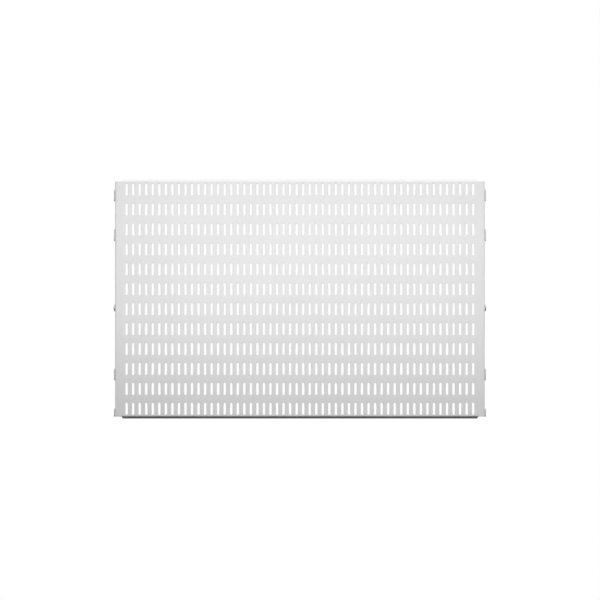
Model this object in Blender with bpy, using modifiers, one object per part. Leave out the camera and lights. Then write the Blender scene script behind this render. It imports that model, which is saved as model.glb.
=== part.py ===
"""A slotted steel board that hangs on a pair of slotted wall standards.

The blank is one steel sheet: a slotted face with its four margins folded back and
in again. It is modelled as its flats and folds, each in a node of its own, because
one solid would have too many faces. Hook plates are riveted to the folded sides, and
a small cam on each side turns into the standard's slot so that the board can't be
lifted off by accident.

Frame: +X to the right of someone facing the board, +Y towards the wall, +Z up.
The origin is the middle of the hanging plane, where the board meets the standards.
"""

import math

import bmesh
import bpy
from mathutils import Matrix, Vector

MM = 0.001

# Driving sizes
ROW_PITCH = 32.0 * MM         # the wall standards' punching pitch, kept by the slot rows
ROWS = 12
COLUMN_PITCH = 10.5 * MM
COLUMNS = 54
WIDTH = 594.0 * MM            # over the folded sides
HEIGHT = ROWS * ROW_PITCH     # over the folded top and bottom edges
DEPTH = 16.0 * MM             # from the hanging plane to the front of the face
SHEET = 1.2 * MM

# Face slots
SLOT_WIDTH = 3.7 * MM
SLOT_LENGTH = 19.5 * MM

# Folds
SIDE_BEND = 1.8 * MM          # outer radius
EDGE_BEND = 4.8 * MM          # outer radius of the top and bottom folds
REAR_BEND = 1.8 * MM
SIDE_RETURN = 12.0 * MM       # the flat that bears on the wall standard
EDGE_RETURN = 6.0 * MM        # short enough to stay out of sight behind the end slots
WALL_END = 2.3 * MM           # from the hanging plane to where a wall passes into its return
CORNER_STEP = 3.0 * MM        # the sides stop this far inside the top and bottom folds
CORNER_WIDTH = 10.0 * MM      # the top and bottom folds stop this far inside the sides
MITRE = 3.0 * MM              # how far the top and bottom folds taper at each end
BEND_STEPS = 4

# Stamped hooks: rows counted from the top, in pitches above the middle
HOOK_ROWS = (5.5, 3.5, -3.5, -5.5)
HOOK_STEEL = 1.6 * MM
HOOK_FRONT = 12.0 * MM
HOOK_HEIGHT = 18.5 * MM
HOOK_CORNER = 2.0 * MM
NECK = 7.0 * MM               # height of the neck that rests in the standard's slot
THROAT = 2.6 * MM             # room for the standard's steel
FINGER_DROP = 6.5 * MM
FINGER_REACH = 8.0 * MM       # behind the hanging plane
FINGER_CHAMFER = 1.2 * MM
FINGER_TOE = 1.5 * MM         # radius
FINGER_HEEL = 6.0 * MM        # radius

# Countersunk rivets
RIVET_SHANK = 1.5 * MM        # radius
RIVET_HEAD = 2.2 * MM         # radius
RIVET_SINK = 0.8 * MM
RIVET_TAIL = 2.2 * MM         # radius
RIVET_TAIL_HEIGHT = 0.9 * MM
RIVET_Y = -7.0 * MM
RIVET_INSET = 3.75 * MM       # from the plate's top and bottom edges
ROUND_STEPS = 12

# Anti-lift lock
LOCK_Y = -6.5 * MM
LOCK_Z = -14.0 * MM
CAM_HUB = 5.6 * MM            # radius
CAM_REACH = 11.0 * MM         # radius of the nose's tip
CAM_NOSE = 4.4 * MM           # half of the nose's height
STUD_NECK = 4.2 * MM          # side of the square that turns the cam
STUD_SHANK = 1.8 * MM         # radius
STUD_HEAD = 3.5 * MM          # radius
STUD_DOME = 0.9 * MM
STUD_TAIL = 3.2 * MM          # radius
STUD_TAIL_HEIGHT = 1.0 * MM
STUD_SLOT = (1.0 * MM, 0.5 * MM)
WASHER = (2.3 * MM, 4.5 * MM)
WASHER_STEEL = 0.4 * MM
WASHER_RISE = 0.4 * MM

SIDES = ((-1, "left"), (1, "right"))
GAP = 0.3 * MM                # left between neighbouring pieces
HEAD_GAP = 0.2 * MM
PAST = 1.0 * MM               # a cutter runs this far past what it cuts

HALF_WIDTH = WIDTH / 2
HALF_HEIGHT = HEIGHT / 2
FACE_HALF_WIDTH = HALF_WIDTH - SIDE_BEND - GAP
FACE_HALF_HEIGHT = HALF_HEIGHT - EDGE_BEND - GAP
SIDE_HALF_HEIGHT = HALF_HEIGHT - CORNER_STEP
EDGE_HALF_WIDTH = HALF_WIDTH - CORNER_WIDTH
PLATE_X = HALF_WIDTH + GAP                  # inner face of the hook plates
PLATE_OUT = PLATE_X + HOOK_STEEL            # outer face
SIDE_IN = HALF_WIDTH - SHEET                # inner face of a folded side


def empty_scene():
    """Remove whatever the file held."""
    for thing in list(bpy.data.objects):
        bpy.data.objects.remove(thing)


def new_collection(name):
    """A collection linked to the scene."""
    group = bpy.data.collections.new(name)
    bpy.context.scene.collection.children.link(group)
    return group


def steel(name, colour, roughness, metallic):
    """A Principled material."""
    material = bpy.data.materials.new(name)
    material.use_nodes = True
    shader = material.node_tree.nodes["Principled BSDF"]
    shader.inputs["Base Color"].default_value = (*colour, 1.0)
    shader.inputs["Roughness"].default_value = roughness
    shader.inputs["Metallic"].default_value = metallic
    return material


def add_object(name, data, group, material=None):
    """Put mesh or curve data into the scene as one named object."""
    thing = bpy.data.objects.new(name, data)
    group.objects.link(thing)
    if material and not data.materials:
        data.materials.append(material)
    return thing


def mesh_from(name, bm):
    """Turn a bmesh into mesh data."""
    mesh = bpy.data.meshes.new(name)
    bm.to_mesh(mesh)
    bm.free()
    return mesh


def arc(centre, radius, start, end, steps):
    """Points on an arc, angles in degrees counted anticlockwise."""
    angles = [math.radians(start + (end - start) * i / steps) for i in range(steps + 1)]
    return [(centre[0] + radius * math.cos(a), centre[1] + radius * math.sin(a)) for a in angles]


def rectangle(centre_x, centre_y, width, height):
    """The corners of a rectangle."""
    corners = ((-1, -1), (1, -1), (1, 1), (-1, 1))
    return [(centre_x + width / 2 * i, centre_y + height / 2 * j) for i, j in corners]


def outline_curve(name, loops, thickness):
    """A flat 2D curve filled between its loops, as thick as the stock it is cut from."""
    curve = bpy.data.curves.new(name, "CURVE")
    curve.dimensions = "2D"
    curve.fill_mode = "BOTH"
    curve.extrude = thickness / 2
    for loop in loops:
        spline = curve.splines.new("POLY")
        spline.points.add(len(loop) - 1)
        for point, (x, y) in zip(spline.points, loop):
            point.co = (x, y, 0, 1)
        spline.use_cyclic_u = True
    return curve


def evaluated_mesh(thing):
    """The object's mesh with its modifiers, in its own space, with loose caps welded."""
    depsgraph = bpy.context.evaluated_depsgraph_get()
    mesh = bpy.data.meshes.new_from_object(thing.evaluated_get(depsgraph))
    bm = bmesh.new()
    bm.from_mesh(mesh)
    bmesh.ops.remove_doubles(bm, verts=bm.verts, dist=0.001 * MM)
    bm.to_mesh(mesh)
    bm.free()
    return mesh


def cut(thing, cutter, operation="DIFFERENCE"):
    """A Boolean modifier with the exact solver."""
    modifier = thing.modifiers.new(cutter.name, "BOOLEAN")
    modifier.object = cutter
    modifier.operation = operation
    modifier.solver = "EXACT"


def hide_cutter(cutter):
    """Show a cutter as wire and keep it out of renders."""
    cutter.hide_render = True
    cutter.display_type = "WIRE"


def turned(name, profile, group, material, steps=ROUND_STEPS):
    """A turned piece: the profile runs down its outer side and is swept about local Z."""
    mesh = bpy.data.meshes.new(name)
    closed = profile[0][0] > 0
    count = len(profile)
    edges = [(i, (i + 1) % count) for i in range(count if closed else count - 1)]
    mesh.from_pydata([(x, 0, z) for x, z in profile], edges, [])
    thing = add_object(name, mesh, group, material)
    screw = thing.modifiers.new("turn", "SCREW")
    screw.axis = "Z"
    screw.steps = screw.render_steps = steps
    screw.use_merge_vertices = True
    screw.merge_threshold = 0.01 * MM
    screw.use_smooth_shade = True
    return thing


def face_outwards(thing, side, x, y, z):
    """Stand a piece that points along local +Z on the outer face of one side."""
    thing.location = (side * x, y, z)
    thing.rotation_euler = (0, side * math.pi / 2, 0)


# ---------------------------------------------------------------- the folded sheet

def face_outline():
    """The flat face between its four bends, a little taller at its corners."""
    corner = [(EDGE_HALF_WIDTH, FACE_HALF_HEIGHT), (FACE_HALF_WIDTH, SIDE_HALF_HEIGHT)]
    upper = corner[::-1] + [(-x, z) for x, z in corner]
    return upper + [(-x, -z) for x, z in upper]


def perforated_face(group, material):
    """The flat face with its grid of upright slots."""
    loops = [face_outline()]
    for row in range(ROWS):
        z = (row - (ROWS - 1) / 2) * ROW_PITCH
        for column in range(COLUMNS):
            x = (column - (COLUMNS - 1) / 2) * COLUMN_PITCH
            loops.append(rectangle(x, z, SLOT_WIDTH, SLOT_LENGTH))
    face = add_object("perforated_face", outline_curve("perforated_face", loops, SHEET), group, material)
    face.location = (0, -DEPTH + SHEET / 2, 0)
    face.rotation_euler = (math.pi / 2, 0, 0)
    return face


def wall_profile(last, bend):
    """The front bend and the wall behind it: (outwards, y) points on the outer surface."""
    profile = arc((last - bend, -DEPTH + bend), bend, -90, 0, BEND_STEPS)
    profile.append((last, -WALL_END - GAP / 2))
    return profile


def return_profile(last, length):
    """The rear bend and the return behind the face, which lies in the hanging plane."""
    profile = [(last, -WALL_END + GAP / 2)]
    profile += arc((last - REAR_BEND, -REAR_BEND), REAR_BEND, 0, 90, BEND_STEPS)
    profile.append((last - length, 0.0))
    return profile


def folded_strip(name, profile, half_lengths, to_world, group, material):
    """The profile swept from one end to the other as an open strip, then thickened.

    Each point of the profile is swept over its own length, so a strip can taper.
    """
    bm = bmesh.new()
    near = [bm.verts.new(to_world(-half, *point)) for half, point in zip(half_lengths, profile)]
    edges = [bm.edges.new(pair) for pair in zip(near, near[1:])]
    swept = bmesh.ops.extrude_edge_only(bm, edges=edges)
    far = [item for item in swept["geom"] if isinstance(item, bmesh.types.BMVert)]
    along = Vector(to_world(1, 0, 0))
    for vert in far:
        vert.co -= 2 * along * vert.co.dot(along)
    bmesh.ops.recalc_face_normals(bm, faces=bm.faces)
    outer = max(bm.faces, key=lambda face: abs(Vector(to_world(0, 1, 0)).dot(face.normal)))
    if outer.normal.dot(Vector(to_world(0, 1, 0))) < 0:
        bmesh.ops.reverse_faces(bm, faces=bm.faces)
    thing = add_object(name, mesh_from(name, bm), group, material)
    shell = thing.modifiers.new("sheet", "SOLIDIFY")
    shell.thickness = SHEET
    shell.offset = -1
    shell.use_even_offset = True
    return thing


def side_fold(side, word, group, cutters, material):
    """One folded side: its bend and wall, drilled for the rivets and the lock's stud."""
    def to_world(z, out, y):
        return (side * out, y, z)

    name = f"{word}_side_fold"
    profile = wall_profile(HALF_WIDTH, SIDE_BEND)
    wall = folded_strip(name, profile, [SIDE_HALF_HEIGHT] * len(profile), to_world, group, material)
    profile = return_profile(HALF_WIDTH, SIDE_RETURN)
    folded_strip(f"{word}_rear_return", profile, [SIDE_HALF_HEIGHT] * len(profile), to_world,
                 group, material)
    drill = bmesh.new()
    numbers = range(len(HOOK_ROWS))
    holes = [(RIVET_SHANK, RIVET_Y, z) for number in numbers for z in rivet_heights(number)]
    holes.append((STUD_SHANK, LOCK_Y, LOCK_Z))
    for radius, y, z in holes:
        place = Matrix.Translation((side * (HALF_WIDTH - SHEET / 2), y, z))
        bmesh.ops.create_cone(drill, cap_ends=True, segments=ROUND_STEPS, radius1=radius + GAP,
                              radius2=radius + GAP, depth=SHEET + 2 * PAST,
                              matrix=place @ Matrix.Rotation(math.pi / 2, 4, "Y"))
    cutter = add_object(name + "_holes", mesh_from(name + "_holes", drill), cutters)
    hide_cutter(cutter)
    cut(wall, cutter)


def edge_fold(up, word, group, material):
    """The folded top (up = 1) or bottom (up = -1) edge, tapered at both ends, and its lip."""
    def to_world(x, out, y):
        return (x, y, up * out)

    profile = wall_profile(HALF_HEIGHT, EDGE_BEND)
    taper = [min(i / BEND_STEPS, 1) for i in range(len(profile))]
    lengths = [EDGE_HALF_WIDTH - MITRE * share for share in taper]
    folded_strip(f"{word}_edge_fold", profile, lengths, to_world, group, material)
    profile = return_profile(HALF_HEIGHT, EDGE_RETURN)
    folded_strip(f"{word}_edge_lip", profile, [EDGE_HALF_WIDTH - MITRE] * len(profile), to_world,
                 group, material)


# ---------------------------------------------------------------- hooks and rivets

def plate_height(number):
    """The lowest plate is cut off at the end of the folded side."""
    return min(HOOK_HEIGHT, HOOK_ROWS[number] * ROW_PITCH + SIDE_HALF_HEIGHT)


def rivet_heights(number):
    """The heights of a hook's two rivets."""
    top = HOOK_ROWS[number] * ROW_PITCH
    return (top - RIVET_INSET, top - plate_height(number) + RIVET_INSET)


def hook_outline(height):
    """A hook seen from the side: (y, z) from its top edge and the hanging plane."""
    r = HOOK_CORNER
    throat_r = THROAT / 2
    tip = -NECK - FINGER_DROP
    outline = arc((-HOOK_FRONT + r, -height + r), r, 180, 270, 3)
    outline += arc((-r, -height + r), r, 270, 360, 3)
    outline += arc((throat_r, -NECK - throat_r), throat_r, 180, 0, 6)
    outline += [(THROAT, tip + FINGER_CHAMFER), (THROAT + FINGER_CHAMFER, tip)]
    outline += arc((FINGER_REACH - FINGER_TOE, tip + FINGER_TOE), FINGER_TOE, 270, 360, 2)
    outline += arc((FINGER_REACH - FINGER_HEEL, -FINGER_HEEL), FINGER_HEEL, 0, 90, 5)
    outline += arc((-HOOK_FRONT + r, -r), r, 90, 180, 3)
    return outline


def hook_mesh(number, cutters):
    """The stamped hook with its countersunk rivet holes; outer face towards +X."""
    height = plate_height(number)
    curve = outline_curve("hook_blank", [hook_outline(height)], HOOK_STEEL)
    blank = add_object("hook_blank", curve, cutters)
    bpy.context.view_layer.update()
    mesh = evaluated_mesh(blank)
    bpy.data.objects.remove(blank)
    mesh.transform(Matrix(((0, 0, 1, 0), (1, 0, 0, 0), (0, 1, 0, 0), (0, 0, 0, 1))))
    solid = add_object("hook_blank", mesh, cutters)
    drill = bmesh.new()
    top = HOOK_ROWS[number] * ROW_PITCH
    for z in rivet_heights(number):
        centre = Vector((0, RIVET_Y, z - top))
        turn = Matrix.Rotation(math.pi / 2, 4, "Y")
        bmesh.ops.create_cone(drill, cap_ends=True, segments=ROUND_STEPS,
                              radius1=RIVET_SHANK + GAP, radius2=RIVET_SHANK + GAP,
                              depth=HOOK_STEEL + 2 * PAST, matrix=Matrix.Translation(centre) @ turn)
    holes = add_object("hook_holes", mesh_from("hook_holes", drill), cutters)
    sinks = bmesh.new()
    slope = (RIVET_HEAD - RIVET_SHANK) / RIVET_SINK
    rim = RIVET_HEAD + GAP + slope * PAST
    for z in rivet_heights(number):
        middle = HOOK_STEEL / 2 + (PAST - RIVET_SINK) / 2
        turn = Matrix.Rotation(math.pi / 2, 4, "Y")
        bmesh.ops.create_cone(sinks, cap_ends=True, segments=ROUND_STEPS,
                              radius1=RIVET_SHANK + GAP, radius2=rim, depth=RIVET_SINK + PAST,
                              matrix=Matrix.Translation((middle, RIVET_Y, z - top)) @ turn)
    countersinks = add_object("hook_countersinks", mesh_from("hook_countersinks", sinks), cutters)
    cut(solid, holes)
    cut(solid, countersinks)
    bpy.context.view_layer.update()
    finished = evaluated_mesh(solid)
    for scrap in (solid, holes, countersinks):
        bpy.data.objects.remove(scrap)
    finished.name = f"hook_{number + 1}"
    return finished


def mirrored(mesh):
    """The same piece for the other side."""
    other = mesh.copy()
    bm = bmesh.new()
    bm.from_mesh(other)
    bmesh.ops.scale(bm, vec=(-1, 1, 1), verts=bm.verts)
    bmesh.ops.reverse_faces(bm, faces=bm.faces)
    bm.to_mesh(other)
    bm.free()
    return other


def rivet(name, side, z, group, material):
    """A countersunk rivet, its head flush with the plate and its tail clenched inside."""
    tail = -(PLATE_OUT - SIDE_IN) - GAP
    profile = [(0, 0), (RIVET_HEAD, 0), (RIVET_SHANK, -RIVET_SINK), (RIVET_SHANK, tail),
               (RIVET_TAIL, tail), (RIVET_SHANK, tail - RIVET_TAIL_HEIGHT),
               (0, tail - RIVET_TAIL_HEIGHT)]
    thing = turned(name, profile, group, material)
    face_outwards(thing, side, PLATE_OUT, RIVET_Y, z)
    return thing


# ---------------------------------------------------------------- anti-lift locks

def lock_cam(side, name, group, material):
    """The cam: a round hub with a nose that reaches into the standard's slot."""
    rise = math.degrees(math.asin(CAM_NOSE / CAM_REACH))
    root = math.degrees(math.asin(CAM_NOSE / CAM_HUB))
    outline = arc((0, 0), CAM_REACH, -rise, rise, 4)
    outline += arc((0, 0), CAM_HUB, root, 360 - root, 16)
    hole = rectangle(0, 0, STUD_NECK + 2 * GAP, STUD_NECK + 2 * GAP)
    cam = add_object(name, outline_curve(name, [outline, hole], HOOK_STEEL), group, material)
    cam.location = (side * (PLATE_X + HOOK_STEEL / 2), LOCK_Y, LOCK_Z)
    cam.rotation_euler = (math.pi / 2, 0, math.pi / 2)
    return cam


def lock_stud(side, name, group, cutters, material):
    """The stud that turns the cam: slotted dome, square neck, shank and clenched tail."""
    dome_radius = (STUD_HEAD ** 2 + STUD_DOME ** 2) / (2 * STUD_DOME)
    top = HEAD_GAP + STUD_DOME
    sweep = math.degrees(math.asin(STUD_HEAD / dome_radius))
    tail = -(PLATE_OUT - SIDE_IN) - 2 * GAP - WASHER_STEEL - WASHER_RISE
    profile = arc((0, top - dome_radius), dome_radius, 90, 90 - sweep, 4)
    profile[0] = (0, top)
    profile += [(STUD_SHANK, HEAD_GAP), (STUD_SHANK, tail), (STUD_TAIL, tail),
                (STUD_SHANK, tail - STUD_TAIL_HEIGHT), (0, tail - STUD_TAIL_HEIGHT)]
    stud = turned(name, profile, group, material)
    face_outwards(stud, side, PLATE_OUT, LOCK_Y, LOCK_Z)

    neck = bmesh.new()
    bmesh.ops.create_cube(neck, size=1.0)
    low, high = -HOOK_STEEL - GAP / 2, HEAD_GAP + STUD_DOME / 6
    bmesh.ops.scale(neck, vec=(STUD_NECK, STUD_NECK, high - low), verts=neck.verts)
    bmesh.ops.translate(neck, vec=(0, 0, (high + low) / 2), verts=neck.verts)
    square = add_object(name + "_neck", mesh_from(name + "_neck", neck), cutters)
    slot = bmesh.new()
    bmesh.ops.create_cube(slot, size=1.0)
    width, deep = STUD_SLOT
    bmesh.ops.scale(slot, vec=(width, 2 * STUD_HEAD + PAST, deep + PAST), verts=slot.verts)
    bmesh.ops.translate(slot, vec=(0, 0, top + (PAST - deep) / 2), verts=slot.verts)
    blade = add_object(name + "_slot", mesh_from(name + "_slot", slot), cutters)
    for tool, operation in ((square, "UNION"), (blade, "DIFFERENCE")):
        hide_cutter(tool)
        face_outwards(tool, side, PLATE_OUT, LOCK_Y, LOCK_Z)
        cut(stud, tool, operation)
    return stud


def spring_washer(side, name, group, material):
    """A coned washer that keeps the stud from turning by itself."""
    inner, outer = WASHER
    low = -(PLATE_OUT - SIDE_IN) - GAP
    profile = [(outer, low), (outer, low - WASHER_STEEL), (inner, low - WASHER_STEEL - WASHER_RISE),
               (inner, low - WASHER_RISE)]
    washer = turned(name, profile, group, material)
    face_outwards(washer, side, PLATE_OUT, LOCK_Y, LOCK_Z)
    return washer


# ---------------------------------------------------------------- the whole board

def build():
    """Model every piece in its place."""
    empty_scene()
    board = new_collection("slotted_board")
    cutters = new_collection("cutters")
    coat = steel("silver_powder_coat", (0.72, 0.72, 0.73), 0.42, 0.2)
    hook_coat = steel("hook_steel", (0.62, 0.62, 0.64), 0.40, 0.3)
    rivet_zinc = steel("rivet_zinc", (0.55, 0.56, 0.58), 0.35, 0.9)
    cam_zinc = steel("cam_zinc", (0.58, 0.59, 0.61), 0.32, 0.9)
    spring = steel("spring_steel", (0.35, 0.35, 0.37), 0.35, 1.0)

    perforated_face(board, coat)
    edge_fold(1, "top", board, coat)
    edge_fold(-1, "bottom", board, coat)
    for side, word in SIDES:
        side_fold(side, word, board, cutters, coat)
    for number, row in enumerate(HOOK_ROWS):
        right_mesh = hook_mesh(number, cutters)
        for side, word in SIDES:
            mesh = right_mesh if side > 0 else mirrored(right_mesh)
            name = f"{word}_hook_{number + 1}"
            hook = add_object(name, mesh, board, hook_coat)
            hook.location = (side * (PLATE_X + HOOK_STEEL / 2), 0, row * ROW_PITCH)
            for place, z in zip(("upper", "lower"), rivet_heights(number)):
                rivet(f"{name}_rivet_{place}", side, z, board, rivet_zinc)
    for side, word in SIDES:
        lock_cam(side, f"{word}_lock_cam", board, cam_zinc)
        lock_stud(side, f"{word}_lock_stud", board, cutters, rivet_zinc)
        spring_washer(side, f"{word}_lock_washer", board, spring)


build()
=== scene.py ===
# %% [markdown]
# # A slotted steel tool board
# The board is one steel blank: a flat face punched with rows of upright slots, its four
# margins folded back and in again. Stamped hooks on its sides hang it on wall standards,
# and a small cam at mid height on each side locks it down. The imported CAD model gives
# every size and place. This script makes the fine surfaces and finishes around it, and
# each new piece is worked out with numpy as whole arrays of points.

# %% Load the frame
import math

import bmesh
import bpy
import numpy as np
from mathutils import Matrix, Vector


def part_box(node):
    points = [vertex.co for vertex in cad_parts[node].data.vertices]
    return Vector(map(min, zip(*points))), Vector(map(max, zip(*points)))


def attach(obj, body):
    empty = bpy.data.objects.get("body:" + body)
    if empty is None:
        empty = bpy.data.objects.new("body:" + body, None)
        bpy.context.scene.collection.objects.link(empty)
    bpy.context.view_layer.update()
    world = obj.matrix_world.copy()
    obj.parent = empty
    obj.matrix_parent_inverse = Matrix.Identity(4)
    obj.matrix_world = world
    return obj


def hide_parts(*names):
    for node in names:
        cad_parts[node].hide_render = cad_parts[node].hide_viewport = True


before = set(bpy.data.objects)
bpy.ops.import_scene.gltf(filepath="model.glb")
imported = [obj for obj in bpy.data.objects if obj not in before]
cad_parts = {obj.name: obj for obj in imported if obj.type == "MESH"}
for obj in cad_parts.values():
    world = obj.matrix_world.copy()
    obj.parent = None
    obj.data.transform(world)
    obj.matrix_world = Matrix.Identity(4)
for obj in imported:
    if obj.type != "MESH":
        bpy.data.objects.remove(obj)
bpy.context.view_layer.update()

MM = 0.001

# %% [markdown]
# The sizes that the pieces share are read from the CAD boxes, so nothing has to be fitted
# later. A box is two corners, the lowest and the highest. The slots are read in the same
# way: the face node's corners repeat the same few x and z values, two for each slot.

# %% Sizes read from the frame
face_low, face_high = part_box("perforated_face")
side_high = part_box("right_side_fold")[1]
edge_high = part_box("top_edge_fold")[1]
lip_low, lip_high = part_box("top_edge_lip")
return_low, return_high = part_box("right_rear_return")

FRONT = face_low.y                      # the front of the face
SHEET = face_high.y - face_low.y        # thickness
DEPTH = return_high.y - face_low.y      # from the hanging plane to the front
HALF_WIDTH = side_high.x
HALF_HEIGHT = edge_high.z
SIDE_HALF_HEIGHT = side_high.z          # the folded sides stop short of the top
EDGE_HALF_WIDTH = edge_high.x           # and the folded edges short of the sides
EDGE_TAPER = edge_high.x - lip_high.x
EDGE_RETURN = lip_high.z - lip_low.z
SIDE_RETURN = return_high.x - return_low.x
print(f"face {2 * HALF_WIDTH / MM:.1f} x {2 * HALF_HEIGHT / MM:.1f} x {DEPTH / MM:.1f} mm")

SIDE_BEND = 1.8 * MM                    # outer radii of the folds
EDGE_BEND = 4.8 * MM
REAR_BEND = 1.8 * MM
SIDE_TANGENT = HALF_WIDTH - SIDE_BEND   # where the flat face ends
EDGE_TANGENT = HALF_HEIGHT - EDGE_BEND


def slot_grid():
    """Centres and sizes of the slots: the face's x and z values inside its outline, in pairs."""
    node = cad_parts["perforated_face"]
    corners = np.empty(len(node.data.vertices) * 3)
    node.data.vertices.foreach_get("co", corners)
    corners = corners.reshape(-1, 3).round(6)
    across = np.unique(corners[:, 0])
    up = np.unique(corners[:, 2])
    across = across[np.abs(across) < EDGE_HALF_WIDTH - 1e-5].reshape(-1, 2)
    up = up[np.abs(up) < EDGE_TANGENT - 0.5 * MM].reshape(-1, 2)
    sizes = np.ptp(across, axis=1).mean(), np.ptp(up, axis=1).mean()
    return across.mean(axis=1), up.mean(axis=1), *sizes


columns, rows, SLOT_WIDTH, SLOT_LENGTH = slot_grid()
COLUMN_PITCH = np.diff(columns).mean()
ROW_PITCH = np.diff(rows).mean()
print(f"{len(columns)} x {len(rows)} slots, {SLOT_WIDTH / MM:.2f} x {SLOT_LENGTH / MM:.1f} mm")

# %% [markdown]
# A mesh is an array of points and a list of faces that name them. These helpers carry
# arrays into Blender. Sewing together points that lie in one place can be done with
# Merge by Distance in the viewport; here numpy does it on the coordinates, so that the
# inner and the outer skin of the sheet keep the same numbering.


# %% Arrays to meshes
def grid_faces(count_a, count_b, wrap=False):
    """Quads of a grid of count_a by count_b points, numbered row by row.

    With wrap, the last point of each row joins the first again.
    """
    number = np.arange(count_a * count_b).reshape(count_a, count_b)
    if wrap:
        number = np.concatenate([number, number[:, :1]], axis=1)
    corners = number[:-1, :-1], number[:-1, 1:], number[1:, 1:], number[1:, :-1]
    return np.stack(corners, axis=-1).reshape(-1, 4)


def sewn(points, faces):
    """Give points at one place one number. Returns the kept points' indices and the faces."""
    places = (points / 1e-6).round().astype(np.int64)
    _, kept, number = np.unique(places, axis=0, return_index=True, return_inverse=True)
    return kept, number.reshape(-1)[faces]


def new_piece(name, points, faces):
    """A mesh object from an array of points and any mix of faces.

    A quad whose side has shrunk to a point, as at a pole, keeps its three other corners.
    """
    mesh = bpy.data.meshes.new(name)
    corners = [list(dict.fromkeys(map(int, face))) for face in faces]
    mesh.from_pydata(points.tolist(), [], [face for face in corners if len(face) > 2])
    piece = bpy.data.objects.new(name, mesh)
    bpy.context.scene.collection.objects.link(piece)
    return piece


print("a grid of 3 by 4 points has", len(grid_faces(3, 4)), "quads,",
      len(grid_faces(3, 4, wrap=True)), "when its rows are closed")

# %% [markdown]
# Holes and eased edges are left to modifiers, which do them well: Boolean for the holes,
# Bevel for the edges and Weighted Normal for clean shading. A modifier could stay live,
# but a settled mesh can be counted and cut again, so each one is applied at once.


# %% Modifiers, settled into the mesh
def settle(piece):
    """Replace the object's mesh by the one that its modifiers give."""
    bpy.context.view_layer.update()
    depsgraph = bpy.context.evaluated_depsgraph_get()
    mesh = bpy.data.meshes.new_from_object(piece.evaluated_get(depsgraph))
    piece.modifiers.clear()
    piece.data = mesh


def carve(piece, tool, operation="DIFFERENCE"):
    """Cut or join a closed mesh with another, and drop the tool."""
    modifier = piece.modifiers.new("carve", "BOOLEAN")
    modifier.object = tool
    modifier.operation = operation
    modifier.solver = "EXACT"
    settle(piece)
    bpy.data.objects.remove(tool)


SHARP = math.radians(50)


def ease_and_shade(piece, edge=0.0):
    """Bevel the sharp edges, then shade smooth with the flats kept flat."""
    if edge:
        bevel = piece.modifiers.new("eased edges", "BEVEL")
        bevel.width, bevel.segments = edge, 2
        bevel.limit_method, bevel.angle_limit = "ANGLE", SHARP
        settle(piece)
    piece.data.shade_smooth()
    piece.data.set_sharp_from_angle(angle=SHARP)
    weighted = piece.modifiers.new("flats stay flat", "WEIGHTED_NORMAL")
    weighted.keep_sharp = True
    settle(piece)


print(f"edges over {math.degrees(SHARP):.0f} degrees count as sharp")

# %% [markdown]
# ## The folded sheet
# On a press brake the margins are folded one after another, and the outer surface of each
# becomes flat, round, flat, round, flat. In Blender this could be a flat mesh with a bend
# modifier on each margin, but a formula is exact: the distance travelled from the first
# bend line says which stretch a point is on, and clipping that distance to each stretch
# in turn adds them up without a single "if".


# %% The fold's formula
def folded(distance, bend):
    """Follow the outer surface of a margin that is folded back and in again.

    The distance is measured along the surface from the first bend line, negative on the
    face. Each stretch takes its share: face, quarter circle, wall, quarter circle,
    return. Gives how far outwards and backwards the point lies, and the angle of its
    normal, 0 to the front, a quarter turn outwards and a half turn to the rear.
    """
    rear, wall = REAR_BEND, DEPTH - bend - REAR_BEND
    first_turn = np.clip(distance / bend, 0, math.pi / 2)
    along = distance - bend * math.pi / 2
    on_wall = np.clip(along, 0, wall)
    second_turn = np.clip((along - wall) / rear, 0, math.pi / 2)
    on_return = np.clip(along - wall - rear * math.pi / 2, 0, None)
    out = np.minimum(distance, 0) + bend * np.sin(first_turn)
    out = out + rear * (np.cos(second_turn) - 1) - on_return
    back = bend * (1 - np.cos(first_turn)) + on_wall + rear * np.sin(second_turn)
    return out, back, first_turn + second_turn


def fold_lines(bend, length, bend_steps):
    """Distances at which the folded margin has points, close together in the bends."""
    quarter, wall = bend * math.pi / 2, DEPTH - bend - REAR_BEND
    front_stretch = np.linspace(0, quarter, bend_steps + 1)
    rear_stretch = quarter + wall + np.linspace(0, REAR_BEND * math.pi / 2, 7)
    end = rear_stretch[-1] + length - REAR_BEND
    return np.concatenate([front_stretch, rear_stretch, [end]])


edge_lines = fold_lines(EDGE_BEND, EDGE_RETURN, 10)
side_lines = fold_lines(SIDE_BEND, SIDE_RETURN, 6)
print(f"steel in an edge {edge_lines[-1] / MM:.1f} mm, in a side {side_lines[-1] / MM:.1f} mm")

# %% [markdown]
# The punched face is a grid of equal cells, each a slot in a small rectangle. A cell is a
# loft between two rings with the same number of points, the slot's edge and the cell's
# border. A slot with round ends is a circle pulled apart along its middle. Twelve points
# a ring are plenty for a slot under 4 mm wide, and there are hundreds of them.

# %% One cell of the face
RING = 12
END_STEP = 2 * math.pi / (RING - 2)     # five steps round each end of the slot
top_end = np.arange(RING // 2) * END_STEP
ring_angle = np.concatenate([top_end, math.pi + top_end])
ring_side = np.repeat([1.0, -1.0], RING // 2)
STRAIGHT = (SLOT_LENGTH - SLOT_WIDTH) / 2


def slot_ring(offset):
    """The slot's outline, grown by offset: a circle whose halves are pulled apart."""
    radius = SLOT_WIDTH / 2 + offset
    across = radius * np.cos(ring_angle)
    return np.stack([across, ring_side * STRAIGHT + radius * np.sin(ring_angle)], axis=1)


def cell_ring():
    """The cell's border, with a point opposite each point of the slot's ring."""
    half = COLUMN_PITCH / 2
    across = np.clip(half * np.cos(ring_angle) / math.cos(END_STEP), -half, half)
    corner = np.abs(np.sin(ring_angle)) > 0.5
    return np.stack([across, ring_side * np.where(corner, ROW_PITCH / 2, STRAIGHT)], axis=1)


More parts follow.
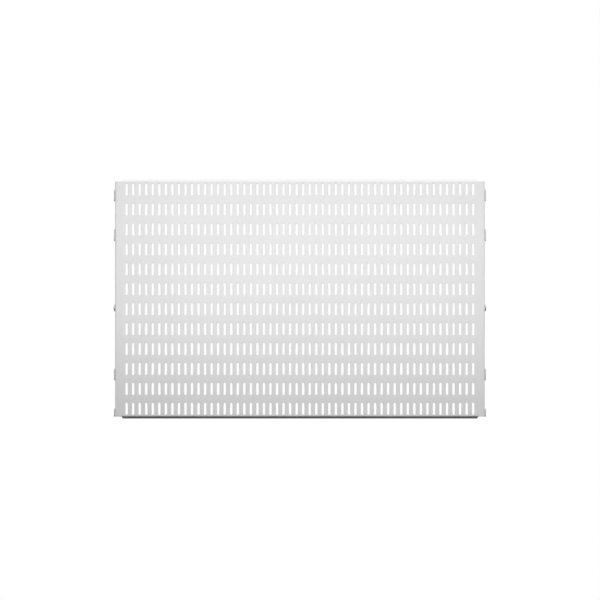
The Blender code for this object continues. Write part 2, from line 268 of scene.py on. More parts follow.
ROLL = 0.30 * MM       # how far the slot's edges roll over in front and are eased behind
centre_x, centre_z = (g.ravel() for g in np.meshgrid(columns, rows))
centres = np.stack([centre_x, centre_z], axis=1)


def tiled(ring):
    """The same ring in every cell, as one array of points."""
    return (centres[:, None, :] + ring[None, :, :]).reshape(-1, 2)


def at_depth(plan, depth):
    """Points (x, z) of the plan stood in space, at a depth behind the front of the face."""
    return np.insert(plan, 1, FRONT + depth, axis=1)


borders, slot_edges = tiled(cell_ring()), tiled(slot_ring(ROLL))
borders[:, 1] = np.clip(borders[:, 1], -EDGE_TANGENT, EDGE_TANGENT)
print("cells:", len(centres), "points round each slot:", RING)

# %% [markdown]
# The whole blank is first drawn flat: the cells, two strips above and below them and two
# at the sides, on lines that meet the cells' own points. Each strip is a grid of its
# length by the distances of the fold, and the formula above stands it up. The skin
# inside lies one sheet's thickness behind along the normal.


# %% The blank's strips, folded
def upright(sign, along, distance, bend, tangent, swap):
    """Outer and inner points of a folded strip from its length and its fold distances.

    The outer point is the folded path; the inner one is a sheet's thickness behind it.
    """
    out, back, turn = folded(distance, bend)
    skins = []
    for depth in (0.0, SHEET):
        outwards = sign * (tangent + out - depth * np.sin(turn))
        backwards = FRONT + back + depth * np.cos(turn)
        pair = (outwards, along) if swap else (along, outwards)
        skins.append(np.stack([pair[0], backwards, pair[1]], axis=-1).reshape(-1, 3))
    return skins


def edge_strip(sign):
    """A folded top or bottom edge. Its ends taper over the first bend."""
    along = np.unique(borders[:, 0].round(9))
    along = np.concatenate([[-EDGE_HALF_WIDTH], along, [EDGE_HALF_WIDTH]])
    line, distance = np.meshgrid(along, edge_lines)
    taper = EDGE_TAPER * np.clip(distance / (EDGE_BEND * math.pi / 2), 0, 1)
    line = np.where(np.abs(line) == EDGE_HALF_WIDTH, line - np.sign(line) * taper, line)
    skins = upright(sign, line, distance, EDGE_BEND, EDGE_TANGENT, swap=False)
    faces = grid_faces(*line.shape)
    return skins, faces if sign > 0 else faces[:, ::-1]


def side_strip(sign):
    """A folded side, from the cells' border out, with the flat tabs at its corners."""
    along = np.unique(np.abs(borders[:, 1]).round(9))
    along = np.concatenate([along, [SIDE_HALF_HEIGHT]])
    along = np.concatenate([-along[::-1], along])
    start = EDGE_HALF_WIDTH - SIDE_TANGENT
    line, distance = np.meshgrid(along, np.concatenate([[start], side_lines]))
    skins = upright(sign, line, distance, SIDE_BEND, SIDE_TANGENT, swap=True)
    faces = grid_faces(*line.shape)
    return skins, faces[:, ::-1] if sign > 0 else faces


def margin_strip(sign):
    """The flat strip between the last cells and the corner tabs."""
    along = np.unique(np.abs(borders[:, 1]).round(9))
    along = np.concatenate([-along[::-1], along])
    line, across = np.meshgrid(along, np.array([borders[:, 0].max(), EDGE_HALF_WIDTH]))
    plan = np.stack([sign * across, line], axis=-1).reshape(-1, 2)
    faces = grid_faces(*line.shape)
    return [at_depth(plan, depth) for depth in (0.0, SHEET)], faces[:, ::-1] if sign > 0 else faces


print("points along a folded edge:", len(np.unique(borders[:, 0].round(9))) + 2)

# %% [markdown]
# The cells lie in the flat of the face. Each is a band of quads between its border and
# the line where its slot's edge starts to roll over. Both rings have their points in the
# same order, so a band is one slice of numbers beside the next.


# %% The cells, and every patch of the blank
def flat_cells():
    """The flat part of every cell, from its border in to where the slot's edge rolls over."""
    plan = np.concatenate([borders, slot_edges])
    start = np.arange(len(borders)).reshape(-1, RING)
    after = np.roll(start, -1, axis=1)
    faces = np.stack([start, after, after + len(borders), start + len(borders)], axis=-1)
    return [at_depth(plan, depth) for depth in (0.0, SHEET)], faces.reshape(-1, 4)


patches = [flat_cells()]
for sign in (-1, 1):
    patches += [edge_strip(sign), side_strip(sign), margin_strip(sign)]
print("strips and cells:", len(patches), "quads:", sum(len(faces) for _, faces in patches))

# %% [markdown]
# Now the skins become one closed body. Points that meet are sewn, the free edges of the
# outer skin are joined to the same edges of the inner one, and each slot gets its wall: a
# stack of rings that rolls over at the front, runs straight and ends in a small bevel.


# %% One closed, folded body
def stacked(patches):
    """All patches in one numbering: outer points, inner points and faces."""
    shift = np.cumsum([0] + [len(skins[0]) for skins, _ in patches[:-1]])
    outer = np.concatenate([skins[0] for skins, _ in patches])
    inner = np.concatenate([skins[1] for skins, _ in patches])
    faces = np.concatenate([faces + start for (_, faces), start in zip(patches, shift)])
    return outer, inner, faces


def free_edges(faces):
    """Edges that only one face has, in that face's direction."""
    edges = np.stack([faces, np.roll(faces, -1, axis=1)], axis=-1).reshape(-1, 2)
    _, number, uses = np.unique(np.sort(edges, axis=1), axis=0, return_inverse=True,
                                return_counts=True)
    return edges[uses[number.reshape(-1)] == 1]


def slot_wall(first, last, start):
    """Rings down every slot's wall, between two rings that exist already.

    Each ring is the slot's outline grown by an offset, at a depth: a quarter round at the
    front, the straight wall, and a bevel at the back. The new points count from start.
    """
    quarter = np.radians([45, 90])
    offsets = np.concatenate([ROLL * (1 - np.sin(quarter)), [0.0]])
    depths = np.concatenate([ROLL * (1 - np.cos(quarter)), [SHEET - ROLL]])
    rings = [at_depth(tiled(slot_ring(o)), depth) for o, depth in zip(offsets, depths)]
    points = np.concatenate(rings)
    numbers = [first, *np.split(start + np.arange(len(points)), len(rings)), last]
    bands = []
    for above, below in zip(numbers, numbers[1:]):
        a, b = above.reshape(-1, RING), below.reshape(-1, RING)
        band = np.stack([a, np.roll(a, -1, 1), np.roll(b, -1, 1), b], axis=-1)
        bands.append(band.reshape(-1, 4))
    return points, np.concatenate(bands)


outer, inner, faces = stacked(patches)
kept, sewn_faces = sewn(outer, faces)
new_number = np.full(len(outer), -1)
new_number[faces.ravel()] = sewn_faces.ravel()
slot_numbers = new_number[len(borders):2 * len(borders)]    # the cells come first
outer, inner = outer[kept], inner[kept]
behind = len(outer)                     # an inner point's number is its outer one's plus this

rim = free_edges(sewn_faces)
rim = rim[~np.isin(rim[:, 0], slot_numbers)]
rim_faces = np.concatenate([rim[:, ::-1], rim + behind], axis=1)
wall_points, wall_faces = slot_wall(slot_numbers, slot_numbers + behind, 2 * behind)
all_points = np.concatenate([outer, inner, wall_points])
all_faces = np.concatenate([sewn_faces, sewn_faces[:, ::-1] + behind, rim_faces, wall_faces])
folded_sheet = new_piece("folded_sheet", all_points, all_faces)
print("sheet:", len(all_points), "points,", len(all_faces), "faces, rim edges", len(rim))

# %% [markdown]
# ## Round pieces
# Rivets, studs and washers are turned: a profile swept about an axis. The Screw modifier
# or the Spin tool does it in the viewport. Here it is a grid of the profile's points by
# angles, x from the profile and y and z from the angle. The same function makes the
# drills, so that each hole fits its rivet. The board's two sides are mirror pictures of
# each other, so a piece for the left is made with its x turned round and its faces too.


# %% Turned pieces
def profile_arc(centre, radius, start, end, steps):
    """Points of an arc, one a row: centre + radius (cos a, sin a), a from start to end degrees."""
    angle = np.radians(np.linspace(start, end, steps + 1))
    return np.asarray(centre) + radius * np.stack([np.cos(angle), np.sin(angle)], axis=1)


def turned(name, profile, place, side, steps=48):
    """Sweep rows of (distance outwards, radius) about an axis along x through place.

    x = place + side * distance, y = place + radius cos a, z = place + radius sin a.
    The profile's outer side runs outwards.
    """
    profile = np.asarray(profile, dtype=float)
    angle = np.arange(steps) * 2 * math.pi / steps
    out, radius = profile[:, :1], profile[:, 1:]
    points = np.stack([place[0] + side * out + 0 * angle, place[1] + radius * np.cos(angle),
                       place[2] + radius * np.sin(angle)], axis=-1).reshape(-1, 3)
    kept, faces = sewn(points, grid_faces(len(profile), steps, wrap=True))
    return new_piece(name, points[kept], faces if side > 0 else faces[:, ::-1])


def together(pieces):
    """One object from several: all their meshes, in the first one."""
    bm = bmesh.new()
    for piece in pieces:
        bm.from_mesh(piece.data)
    bm.to_mesh(pieces[0].data)
    bm.free()
    for piece in pieces[1:]:
        bpy.data.objects.remove(piece)
    return pieces[0]


def middle(node):
    """The centre of a node's box."""
    low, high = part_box(node)
    return np.array((low + high) / 2)


SIDES = ((-1, "left"), (1, "right"))
HOOKS = range(1, 1 + sum(name.startswith("left_hook_") and "rivet" not in name
                         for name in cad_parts))
SEATS = ("upper", "lower")
plate_in, plate_out = (corner.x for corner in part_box("right_hook_1"))
print(f"hooks a side: {len(HOOKS)}, plate {(plate_out - plate_in) / MM:.2f} mm thick")

# %% [markdown]
# The folded sides are drilled for two rivets behind each hook and for the lock's stud. A
# hole can be cut with the Boolean modifier: the drill is a turned piece that is a little
# larger than the shank and goes right through the wall.

# %% Holes in the folded sides
RIVET_SHANK = 1.5 * MM
STUD_SHANK = 1.8 * MM
FIT = 0.25 * MM


def drill(place, radius, side, through):
    """A cylinder across the wall: a turned profile with its two ends closed."""
    profile = [(-through, 0), (-through, radius), (through, radius), (through, 0)]
    return turned("drill", profile, place, side, steps=24)


drills = []
for side, word in SIDES:
    wall_x = side * (HALF_WIDTH - SHEET / 2)
    for number in HOOKS:
        for seat in SEATS:
            _, y, z = middle(f"{word}_hook_{number}_rivet_{seat}")
            drills.append(drill((wall_x, y, z), RIVET_SHANK + FIT, side, SHEET))
    _, y, z = middle(f"{word}_lock_stud")
    drills.append(drill((wall_x, y, z), STUD_SHANK + FIT, side, SHEET))
carve(folded_sheet, together(drills))
ease_and_shade(folded_sheet, 0.15 * MM)
print("sheet after drilling:", len(folded_sheet.data.polygons), "faces")

# %% [markdown]
# The hooks are held by countersunk rivets. The head lies flush with the plate, and the
# tail is clenched into a low dome inside the folded side. Both ends keep the small dimple
# of the riveting tool's centre.

# %% Rivets
RIVET_HEAD = 2.2 * MM                   # radius at the flush face
RIVET_SINK = 0.8 * MM
HEAD_ROUND = 0.12 * MM                  # radius round the head's rim
WALL_IN = HALF_WIDTH - SHEET
TAIL_LIFT = 0.3 * MM                    # the clenched dome starts this far off the wall


def rivet_profile(tail, tail_height, head):
    """From the tail's pole to the head's: a dimpled dome, the shank and a flush cone."""
    turn = np.linspace(0.12, 1, 9) * math.pi / 2
    dome = np.stack([tail - tail_height * np.cos(turn) ** 0.8, RIVET_HEAD * np.sin(turn)], axis=1)
    dimple = [(tail - 0.78 * tail_height, 0.0)]
    shank = [(tail, RIVET_SHANK), (head - RIVET_SINK, RIVET_SHANK)]
    rim_centre = (head - HEAD_ROUND, RIVET_HEAD - HEAD_ROUND - 0.02 * MM)
    rim = profile_arc(rim_centre, HEAD_ROUND, 70, 0, 3)
    return np.concatenate([dimple, dome, shank, rim, [(head, 0.6 * MM), (head - 0.1 * MM, 0.0)]])


rivets = {}
for side, word in SIDES:
    for number in HOOKS:
        for seat in SEATS:
            node = f"{word}_hook_{number}_rivet_{seat}"
            _, y, z = middle(node)
            tail_end, head = sorted(abs(corner.x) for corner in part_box(node))
            tail = WALL_IN - TAIL_LIFT
            profile = rivet_profile(tail, tail - tail_end, head)
            rivets[node] = turned(node + "_steel", profile, (0, y, z), side, steps=32)
            ease_and_shade(rivets[node])
print("rivets:", len(rivets))

# %% [markdown]
# ## Stamped plates
# The hooks and the cams are blanked from 1.6 mm strip. Solidify on a flat outline would
# give them knife edges, so the outline is carried through the thickness on rings that
# draw in by a quarter round at each face, as a blanked and tumbled plate has. The two
# faces are single many-sided polygons: they are flat, so they need no grid.


# %% Plates from outlines
def drawn_in(loop, distance):
    """Move a loop's edges inwards by a distance, along the mitre of the two edges' normals."""
    edge = np.roll(loop, -1, axis=0) - loop
    normal = np.stack([edge[:, 1], -edge[:, 0]], axis=1)
    normal /= np.linalg.norm(normal, axis=1, keepdims=True)
    before = np.roll(normal, 1, axis=0)
    mitre = (normal + before) / (1 + (normal * before).sum(axis=1, keepdims=True))
    return loop - distance * mitre


def plate(name, outline, x_in, x_out, side, edge=0.25 * MM, steps=3):
    """A flat plate across x from its (y, z) outline, with quarter-round edges.

    Each ring lies edge (1 - sin t) inside a face and is drawn in by edge (1 - cos t).
    """
    turn = np.linspace(0, math.pi / 2, steps + 1) if edge else np.zeros(1)
    depth = edge * (1 - np.sin(turn))
    inset = edge * (1 - np.cos(turn))
    levels = [(x_in + d, i) for d, i in zip(depth[::-1], inset[::-1])]
    levels += [(x_out - d, i) for d, i in zip(depth, inset)]
    rings = []
    for x, i in levels:
        loop = drawn_in(outline, i)
        rings.append(np.concatenate([np.full((len(loop), 1), side * x), loop], axis=1))
    count = len(outline)
    first, last = np.arange(count), np.arange(count) + count * (len(levels) - 1)
    faces = list(grid_faces(len(levels), count, wrap=True)) + [first[::-1], last]
    faces = faces if side > 0 else [face[::-1] for face in faces]
    return new_piece(name, np.concatenate(rings), faces)


square = np.array([(0.0, 0.0), (2.0, 0.0), (2.0, 2.0), (0.0, 2.0)])
print("a square of 2 drawn in by 0.5:", drawn_in(square, 0.5).tolist())

# %% [markdown]
# A hook plate is a rounded rectangle against the folded side. At its top a finger reaches
# back through the standard's slot and turns down, so that the board hangs by the finger's
# neck. The outline is a chain of arcs, given from the plate's top edge and the hanging
# plane, and straight lines join one arc's end to the next one's start.

# %% Hooks
NECK = 7.0 * MM                         # from the finger's top down to the throat
THROAT = 2.6 * MM                       # the gap that takes the standard's steel
FINGER_TIP = -13.5 * MM                 # measured from the plate's top edge
hook_low, hook_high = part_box("right_hook_1")
HOOK_HEIGHT = hook_high.z - hook_low.z


def hook_outline(height):
    """The hook's edge as (y, z), anticlockwise from the plate's lower front corner."""
    corner, throat, toe, heel = 2.0 * MM, THROAT / 2, 1.5 * MM, 6.0 * MM
    front, reach, chamfer = hook_low.y, hook_high.y, 1.2 * MM
    parts = [
        profile_arc((front + corner, -height + corner), corner, 180, 270, 8),
        profile_arc((-corner, -height + corner), corner, 270, 360, 8),
        profile_arc((throat, -NECK - throat), throat, 180, 0, 14),
        [(THROAT, FINGER_TIP + chamfer), (THROAT + chamfer, FINGER_TIP)],
        profile_arc((reach - toe, FINGER_TIP + toe), toe, 270, 360, 8),
        profile_arc((reach - heel, -heel), heel, 0, 90, 14),
        profile_arc((front + corner, -corner), corner, 90, 180, 8),
    ]
    return np.concatenate(parts)


def countersink(place, side):
    """The drill for a hook: a hole with a cone that opens past the plate's outer face."""
    slope = (RIVET_HEAD - RIVET_SHANK) / RIVET_SINK
    radius, past = RIVET_SHANK + FIT, 1.0 * MM
    profile = [(plate_in - past, 0), (plate_in - past, radius), (plate_out - RIVET_SINK, radius),
               (plate_out + past, radius + slope * (RIVET_SINK + past)), (plate_out + past, 0)]
    return turned("countersink", profile, place, side, steps=32)


hooks = {}
for side, word in SIDES:
    for number in HOOKS:
        node = f"{word}_hook_{number}"
        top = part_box(node)[1].z
        height = min(HOOK_HEIGHT, top + SIDE_HALF_HEIGHT)
        outline = hook_outline(height) + (0, top)
        hooks[node] = plate(node + "_plate", outline, plate_in, plate_out, side)
        seats = [middle(f"{node}_rivet_{seat}") for seat in SEATS]
        carve(hooks[node], together([countersink((0, y, z), side) for _, y, z in seats]))
        ease_and_shade(hooks[node])
print("hooks:", len(hooks), "points round an outline:", len(outline))

# %% [markdown]
# ## The anti-lift locks
# At mid height each side carries a cam. Its nose stands in a slot of the standard and a
# quarter turn with a screwdriver frees it. In polar coordinates its outline is one
# formula: the larger of the hub's radius and the nose's, and the nose is the smaller of
# a circle and two parallel lines. Soft versions of "larger" and "smaller" round the
# corners, as a stamping tool does. The square hole is a polar formula too.


# %% Cams
def polar_outline(radius_at, centre, count=128):
    """A closed (y, z) loop: centre + r(a) (cos a, sin a), anticlockwise."""
    angle = (np.arange(count) + 0.5) * 2 * math.pi / count
    return np.asarray(centre) + (radius_at(angle) * np.stack([np.cos(angle), np.sin(angle)])).T


def cam_radius(angle):
    """Soft larger of the hub and the nose; the nose is the soft smaller of tip and sides."""
    hub, reach, half = 5.6 * MM, 11.0 * MM, 4.4 * MM
    beside = half / np.maximum(np.abs(np.sin(angle)), 1e-3)
    nose = np.where(np.cos(angle) > 0, (reach ** -30.0 + beside ** -30.0) ** (-1 / 30), 0)
    return (hub ** 24 + nose ** 24) ** (1 / 24)


def square_radius(side_length, hardness=16):
    """A square with soft corners: half side / (|cos|^n + |sin|^n)^(1/n)."""
    def radius_at(angle):
        total = np.abs(np.cos(angle)) ** hardness + np.abs(np.sin(angle)) ** hardness
        return side_length / 2 / total ** (1 / hardness)
    return radius_at


SQUARE = 4.2 * MM
cams = {}
for side, word in SIDES:
    node = f"{word}_lock_cam"
    x_in, x_out = sorted(abs(corner.x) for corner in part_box(node))
    axis = middle(f"{word}_lock_stud")[1:]
    cams[node] = plate(node + "_plate", polar_outline(cam_radius, axis), x_in, x_out, side)
    hole = polar_outline(square_radius(SQUARE + 2 * FIT), axis, 48)
    carve(cams[node], plate("square", hole, x_in - MM, x_out + MM, side, edge=0))
    ease_and_shade(cams[node])
print("cams:", len(cams), "axis y, z in mm:", np.round(axis / MM, 2))

# %% [markdown]
# The stud that turns the cam has a low domed head with a screwdriver slot, a square neck
# in the cam's hole, a shank through the folded side and a clenched tail. A coned washer
# under the tail is the brake. The dome is an arc of a large circle about the axis.

# %% Studs and washers
STUD_HEAD = 3.5 * MM
STUD_DOME = 0.9 * MM
CLENCH = 3.2 * MM                       # radius of the clenched tail
HEAD_GAP = 0.2 * MM                     # between the cam and the head
BLADE = np.array([(-0.5, -4.0), (0.5, -4.0), (0.5, 4.0), (-0.5, 4.0)])     # the slot's outline


def stud_profile(tail_end, tail, seat, top):
    """From the tail's pole to the dome's: clenched tail, shank, flat under the head, dome."""
    turn = np.linspace(0.1, 1, 8) * math.pi / 2
    bulge = (tail - tail_end) * np.cos(turn) ** 0.7
    clench = np.stack([tail - bulge, CLENCH * np.sin(turn)], axis=1)
    ball = (STUD_HEAD ** 2 + STUD_DOME ** 2) / (2 * STUD_DOME)
    sweep = math.degrees(math.asin((STUD_HEAD - 0.15 * MM) / ball))
    dome = profile_arc((top - ball, 0), ball, sweep, 0, 10)
    middle_part = [(tail, STUD_SHANK), (seat, STUD_SHANK), (seat, STUD_HEAD - 0.1 * MM),
                   (seat + 0.08 * MM, STUD_HEAD)]
    return np.concatenate([[(tail_end + 0.15 * MM, 0)], clench, middle_part, dome])


def washer_profile(low, steel=0.4 * MM, rise=0.4 * MM, inner=2.3 * MM, outer=4.5 * MM):
    """A closed loop: the cone's outer face out to the rim, and its inner face back."""
    share = np.linspace(0, 1, 7)
    radius = inner + (outer - inner) * share
    bow = low - rise * (1 - share) ** 1.15
    back = np.stack([bow - steel, radius], axis=1)
    front = np.stack([bow, radius], axis=1)[::-1]
    return np.concatenate([back, front, back[:1]])


studs, washers = {}, {}
for side, word in SIDES:
    node = f"{word}_lock_stud"
    tail_end, top = sorted(abs(corner.x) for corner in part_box(node))
    axis = middle(node)[1:]
    place = (0, *axis)
    seat = plate_out + HEAD_GAP
    tail = tail_end + 1.0 * MM
    stud = turned(node + "_steel", stud_profile(tail_end, tail, seat, top), place, side)
    neck = polar_outline(square_radius(SQUARE), axis, 48)
    carve(stud, plate("neck", neck, plate_in - 0.1 * MM, seat + 0.15 * MM, side, edge=0), "UNION")
    blade = BLADE * MM + axis
    carve(stud, plate("blade", blade, top - 0.5 * MM, top + MM, side, edge=0))
    ease_and_shade(stud)
    studs[node] = stud
    node = f"{word}_lock_washer"
    low = max(abs(corner.x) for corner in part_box(node))
    washers[node] = turned(node + "_ring", washer_profile(low), place, side)
    ease_and_shade(washers[node])
print("studs:", len(studs), "washers:", len(washers))

# %% [markdown]
# ## Finishes
# Each finish is one Principled shader fed by noise. The noise reads the piece's own
# Object coordinates, so it stays on the metal when a lock turns. In the shader editor
# such a tree is drawn by hand; three short helpers add and join the same nodes here.


# %% Building a finish
def finish(name, metallic, specular=0.5):
    """An empty Principled finish: its material, a maker of nodes and the shader."""
    material = bpy.data.materials.new(name)
    material.use_nodes = True
    tree = material.node_tree
    shader = tree.nodes["Principled BSDF"]
    shader.inputs["Metallic"].default_value = metallic
    shader.inputs["Specular IOR Level"].default_value = specular

    def node(kind, inputs=None, **settings):
        """A node with its settings; an input is a number, a colour or another node's output."""
        made = tree.nodes.new("ShaderNode" + kind)
        for key, value in settings.items():
            setattr(made, key, value)
        for key, value in (inputs or {}).items():
            if isinstance(value, bpy.types.NodeSocket):
                tree.links.new(value, made.inputs[key])
            else:
                made.inputs[key].default_value = value
        return made

    return material, node, shader, tree.links


def spread(node, value, low, high, start=0.0, end=1.0, smooth=False):
    """Map Range: value between start and end becomes low to high."""
    kind = "SMOOTHSTEP" if smooth else "LINEAR"
    made = node("MapRange", {"Value": value, "From Min": start, "From Max": end,
                             "To Min": low, "To Max": high}, interpolation_type=kind)
    return made.outputs["Result"]


def blend(node, factor, first, second, kind="MIX"):
    """Mix two colours, or multiply the first by the second."""
    made = node("Mix", {0: factor}, data_type="RGBA", blend_type=kind)
    for socket, value in ((6, first), (7, second)):
        if isinstance(value, bpy.types.NodeSocket):
            made.id_data.links.new(value, made.inputs[socket])
        else:
            made.inputs[socket].default_value = (*value, 1)
    return made.outputs[2]


print("finish helpers:", [helper.__name__ for helper in (finish, spread, blend)])

# %% [markdown]
# The board is powder coated in a satin silver grey. Powder coat keeps a faint orange
# peel, about a millimetre across, and the silver in it is fine flake. The flake is a mix
# of two close tones in small cells, the orange peel is a bump a few thousandths of a
# millimetre high, and slow noise makes the coat a little thicker here and thinner there.
# The hooks' fingers slide in steel slots, so behind the hanging plane their coat is rubbed.
# The hooks' coat is also a darker copy of the board's: that darker tone is painted shade.


# %% The silver coat
def silver_coat(name, tone, metallic, roughness, rubbed_behind=None):
    """Powder coat with flake, orange peel and, behind a given y, rubbed metal."""
    material, node, shader, links = finish(name, metallic)
    place = node("TexCoord").outputs["Object"]
    flake = node("TexVoronoi", {"Vector": place, "Scale": 4200.0}).outputs["Color"]
    flake = node("SeparateColor", {"Color": flake}).outputs[0]
    cloud = node("TexNoise", {"Vector": place, "Scale": 11.0, "Detail": 2.0}).outputs["Fac"]
    peel = node("TexNoise", {"Vector": place, "Scale": 900.0, "Detail": 1.0}).outputs["Fac"]
    light, dark = (tuple(c * share for c in tone) for share in (1.05, 0.95))
    colour = blend(node, flake, dark, light)
    thin = spread(node, cloud, 0.985, 1.015, 0.35, 0.65)
    shade = node("CombineColor", {0: thin, 1: thin, 2: thin}).outputs[0]
    colour = blend(node, 1.0, colour, shade, "MULTIPLY")
    rough = spread(node, cloud, roughness - 0.02, roughness + 0.02, 0.35, 0.65)
    if rubbed_behind is not None:
        depth = node("SeparateXYZ", {"Vector": place}).outputs["Y"]
        behind = spread(node, depth, 0.0, 1.0, rubbed_behind - 1.5 * MM, rubbed_behind + 2 * MM)
        scuff = node("TexNoise", {"Vector": place, "Scale": 420.0, "Detail": 5.0}).outputs["Fac"]
        both = node("Math", {0: behind, 1: scuff}, operation="MULTIPLY").outputs[0]
        bare = spread(node, both, 0.0, 1.0, 0.40, 0.56, smooth=True)
        colour = blend(node, bare, colour, (0.44, 0.44, 0.45))
        gloss = node("Math", {0: bare, 1: -0.12}, operation="MULTIPLY").outputs[0]
        rough = node("Math", {0: rough, 1: gloss}, operation="ADD").outputs[0]
    bump = node("Bump", {"Height": peel, "Strength": 0.5, "Distance": 0.02 * MM}).outputs["Normal"]
    links.new(colour, shader.inputs["Base Color"])
    links.new(rough, shader.inputs["Roughness"])
    links.new(bump, shader.inputs["Normal"])
    return material


sheet_coat = silver_coat("satin_silver_coat", (0.70, 0.70, 0.70), 0.8, 0.43)
# painted shade: the hooks get the board's coat at a darker tone, standing in for the shade on
# their set-back edges; the rubbed metal behind is real wear
hook_coat = silver_coat("rubbed_and_painted_shade_silver_coat", (0.58, 0.581, 0.585), 0.8, 0.42, rubbed_behind=0.0)
print("coats:", sheet_coat.name, hook_coat.name)

# %% [markdown]
# Rivets, cams and studs are zinc plated. Plating is metal all through, so its tone is the
# reflection's tint, and its life is in the roughness: cloudy patches a millimetre or two
# across, and fine tumbling scratches. The washer is dark spring steel with a film of oil.


# %% Plated and sprung steel
def plated(name, tone, roughness, cloudy, scratch):
    """Plating: cloudy roughness, and scratches from noise stretched by different scales."""
    material, node, shader, links = finish(name, 1.0)
    place = node("TexCoord").outputs["Object"]
    cloud = node("TexNoise", {"Vector": place, "Scale": 700.0, "Detail": 3.0}).outputs["Fac"]
    stretched = node("Mapping", {"Vector": place, "Rotation": (0.5, 0.3, 0.2),
                                 "Scale": (9000.0, 700.0, 9000.0)}).outputs["Vector"]
    line = node("TexNoise", {"Vector": stretched, "Scale": 1.0, "Detail": 2.0}).outputs["Fac"]
    dark = tuple(c * (1 - cloudy) for c in tone)
    colour = blend(node, spread(node, cloud, 0.0, 1.0, 0.3, 0.7), dark, tone)
    rough = spread(node, cloud, roughness - 0.5 * cloudy, roughness + 0.5 * cloudy, 0.3, 0.7)
    bump = node("Bump", {"Height": line, "Strength": scratch, "Distance": 0.01 * MM})
    links.new(colour, shader.inputs["Base Color"])
    links.new(rough, shader.inputs["Roughness"])
    links.new(bump.outputs["Normal"], shader.inputs["Normal"])
    return material


rivet_finish = plated("bright_zinc", (0.66, 0.67, 0.68), 0.30, 0.14, 0.3)
cam_finish = plated("satin_zinc", (0.68, 0.685, 0.69), 0.50, 0.16, 0.5)
stud_finish = plated("clear_zinc", (0.76, 0.765, 0.77), 0.50, 0.12, 0.4)
washer_finish = plated("oiled_spring_steel", (0.20, 0.195, 0.19), 0.34, 0.20, 0.3)
print("plated:", [m.name for m in (rivet_finish, cam_finish, stud_finish, washer_finish)])

# %% [markdown]
# ## Putting it on the frame
# Every piece rides on a body of the imported model and stands for the CAD nodes that it
# was measured from. The cams and studs ride on the lock bodies, so they turn with them.


# %% Bodies, materials and nodes
def place_on_frame(piece, body, slot, material, *nodes):
    """Give a finished piece its material and its body, and hide the nodes it stands for. The slot
    is not used.
    """
    piece.data.materials.clear()
    piece.data.materials.append(material)
    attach(piece, body)
    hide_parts(*nodes)


sheet_nodes = [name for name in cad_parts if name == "perforated_face"
               or name.endswith(("_edge_fold", "_edge_lip", "_side_fold", "_rear_return"))]
place_on_frame(folded_sheet, "board", "powder_coat", sheet_coat, *sheet_nodes)
for node, piece in hooks.items():
    place_on_frame(piece, "board", "hook_coat", hook_coat, node)
for node, piece in rivets.items():
    place_on_frame(piece, "board", "rivet_zinc", rivet_finish, node)
for node, piece in washers.items():
    place_on_frame(piece, "board", "spring_steel", washer_finish, node)
for node, piece in cams.items():
    place_on_frame(piece, node.replace("_cam", ""), "cam_zinc", cam_finish, node)
for node, piece in studs.items():
    place_on_frame(piece, node.replace("_stud", ""), "stud_zinc", stud_finish, node)
pieces = [folded_sheet, *hooks.values(), *rivets.values(), *washers.values(), *cams.values(),
          *studs.values()]
triangles = sum(len(face.vertices) - 2 for piece in pieces for face in piece.data.polygons)
print("pieces:", len(pieces), "triangles:", triangles)

# %% [markdown]
# ## The studio
# The board hangs free in a white studio. A metallic coat shows what it faces, so the room
# is planned as a reflection. The world is white where the camera looks past the board. As
# a light it is dark below the horizon, which is what darkens the lower fold, and bright
# above it. A colour ramp on the direction's height gives that as one smooth curve.


# %% World
SKY = ((-1.0, 0.06), (-0.5, 0.02), (-0.25, 0.02), (-0.1, 0.02), (0.05, 0.59), (0.3, 0.35),
       (0.7, 1.03), (1.0, 1.22))        # height of the direction, brightness


def studio_world(sky, seen):
    """A world that lights by the height of the direction, and that the camera sees as white."""
    world = bpy.data.worlds.new("white_studio")
    world.use_nodes = True
    nodes, links = world.node_tree.nodes, world.node_tree.links
    nodes.clear()
    direction = nodes.new("ShaderNodeTexCoord")
    split = nodes.new("ShaderNodeSeparateXYZ")
    height = nodes.new("ShaderNodeMapRange")
    height.inputs["From Min"].default_value = -1.0
    ramp = nodes.new("ShaderNodeValToRGB")
    stops = ramp.color_ramp.elements
    added = [stops.new(0.5) for _ in sky[2:]]       # a ramp starts with two stops
    for (z, level), stop in zip(sky, [stops[0], *added, stops[-1]]):
        stop.position, stop.color = (z + 1) / 2, (level, level, level, 1)
    light, backdrop = (nodes.new("ShaderNodeBackground") for _ in range(2))
    backdrop.inputs["Color"].default_value = (seen, seen, seen, 1)
    ray = nodes.new("ShaderNodeLightPath")
    mix = nodes.new("ShaderNodeMixShader")
    output = nodes.new("ShaderNodeOutputWorld")
    links.new(direction.outputs["Generated"], split.inputs["Vector"])
    links.new(split.outputs["Z"], height.inputs["Value"])
    links.new(height.outputs["Result"], ramp.inputs["Fac"])
    links.new(ramp.outputs["Color"], light.inputs["Color"])
    links.new(ray.outputs["Is Camera Ray"], mix.inputs["Fac"])
    links.new(light.outputs["Background"], mix.inputs[1])
    links.new(backdrop.outputs["Background"], mix.inputs[2])
    links.new(mix.outputs["Shader"], output.inputs["Surface"])
    return world


scene = bpy.context.scene
scene.world = studio_world(SKY, seen=1.0)
scene.view_settings.view_transform = "Standard"
print("world:", scene.world.name, [round(s.position * 2 - 1, 2) for s in
      scene.world.node_tree.nodes["Color Ramp"].color_ramp.elements])

# %% [markdown]
# Two soft boxes stand close in front, and the face falls off towards their edges, most of
# all at its lower corners. One above and in front, one overhead and one at each side
# light the folds and the hooks, and one behind lights the rear for anyone who walks round.


# %% Lights
def soft_box(name, place, target, size, power):
    """A rectangular area light that looks from place to target and isn't itself seen."""
    light = bpy.data.lights.new(name, "AREA")
    light.shape, light.energy = "RECTANGLE", power
    light.size, light.size_y = size
    lamp = bpy.data.objects.new(name, light)
    lamp.location = place
    gaze = Vector(target) - Vector(place)
    lamp.rotation_euler = gaze.to_track_quat("-Z", "Y").to_euler()
    lamp.visible_camera = False
    scene.collection.objects.link(lamp)
    return lamp


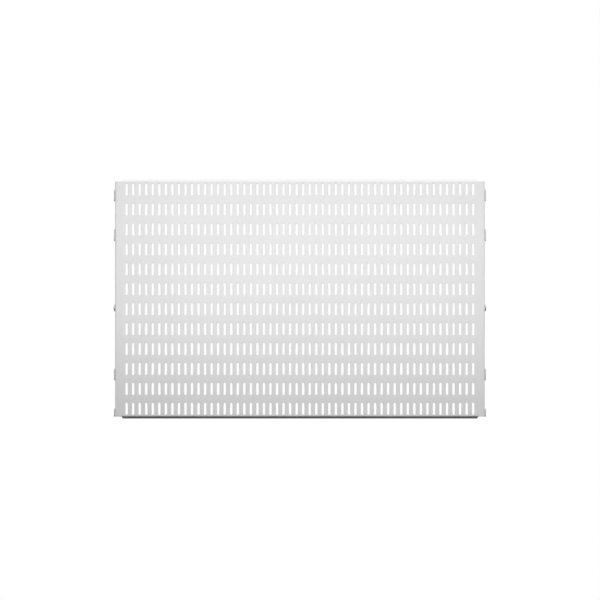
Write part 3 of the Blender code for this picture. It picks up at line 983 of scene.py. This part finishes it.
lamps = [
    soft_box("high_panel", (0.067, -0.74, 0.115), (0.2, 0, 0.3), (1.18, 0.484), 1.34),
    soft_box("front_panel", (0.03, -0.6, 0.05), (0, 0, 0.05), (1.0, 0.8), 1.22),
    soft_box("key", (0.1, -1.0, 1.0), (0, 0, 0), (1.4, 0.8), 1.82),
    soft_box("overhead", (0, -0.1, 1.1), (0, 0, 0.192), (1.4, 0.6), 1.19),
    soft_box("left_side", (-1.3, -0.1, 0.1), (-0.3, 0, 0), (1.4, 1.4), 4.61),
    soft_box("right_side", (1.3, -0.1, 0.1), (0.3, 0, 0), (1.4, 1.4), 5.64),
    soft_box("behind", (0, 1.4, 0.35), (0, 0, 0.3), (2.2, 1.6), 9.95),
]
print("lamps:", [lamp.name for lamp in lamps])

# %% [markdown]
# The floor is a pale disc well below the board. It doesn't throw light back up, because
# the dark underside of the folds depends on a dark lower half.


# %% Floor
def disc(name, radius, height, rings=12, steps=96):
    """A flat disc: radius r and angle a give (r cos a, r sin a, height)."""
    r, a = np.meshgrid(np.linspace(0, radius, rings), np.arange(steps) * 2 * math.pi / steps,
                       indexing="ij")
    points = np.stack([r * np.cos(a), r * np.sin(a), np.full_like(r, height)], axis=-1)
    points = points.reshape(-1, 3)
    kept, faces = sewn(points, grid_faces(rings, steps, wrap=True)[:, ::-1])
    return new_piece(name, points[kept], faces)


def floor_paper():
    """Matt white paper with faint fibres. A little glow keeps it as pale as the backdrop."""
    material, node, shader, links = finish("floor_paper", 0.0, 0.2)
    place = node("TexCoord").outputs["Object"]
    fibre = node("TexNoise", {"Vector": place, "Scale": 260.0, "Detail": 4.0}).outputs["Fac"]
    tone = blend(node, fibre, (0.86, 0.86, 0.86), (0.90, 0.90, 0.90))
    links.new(tone, shader.inputs["Base Color"])
    shader.inputs["Roughness"].default_value = 0.9
    shader.inputs["Emission Color"].default_value = (1, 1, 1, 1)
    shader.inputs["Emission Strength"].default_value = 0.35
    return material


FLOOR_RADIUS, FLOOR_HEIGHT = 2.6, -0.75     # metres
floor = disc("studio_floor", FLOOR_RADIUS, FLOOR_HEIGHT)
floor.data.materials.append(floor_paper())
floor.visible_diffuse = floor.visible_glossy = False
print("floor at z =", FLOOR_HEIGHT)

# %% [markdown]
# ## The camera
# The board is seen straight on from far away with a long lens, so its folded sides stay
# hidden behind the face. The lens follows from the distance and from the width of the
# view in the plane of the face: focal length = sensor width * distance / view width.

# %% Camera
VIEW_WIDTH = 0.96355                    # metres, in the plane of the face
DISTANCE = 5.4
SENSOR = 36.0                           # millimetres
camera_data = bpy.data.cameras.new("straight_on")
camera_data.sensor_width = SENSOR
camera_data.lens = SENSOR * DISTANCE / VIEW_WIDTH
camera_data.clip_end = 100.0
camera = bpy.data.objects.new("straight_on", camera_data)
camera.location = (0.0001, FRONT - DISTANCE, -0.0015)
camera.rotation_euler = (math.pi / 2, 0, 0)
scene.collection.objects.link(camera)
scene.camera = camera
print(f"lens {camera_data.lens:.1f} mm at {DISTANCE} m")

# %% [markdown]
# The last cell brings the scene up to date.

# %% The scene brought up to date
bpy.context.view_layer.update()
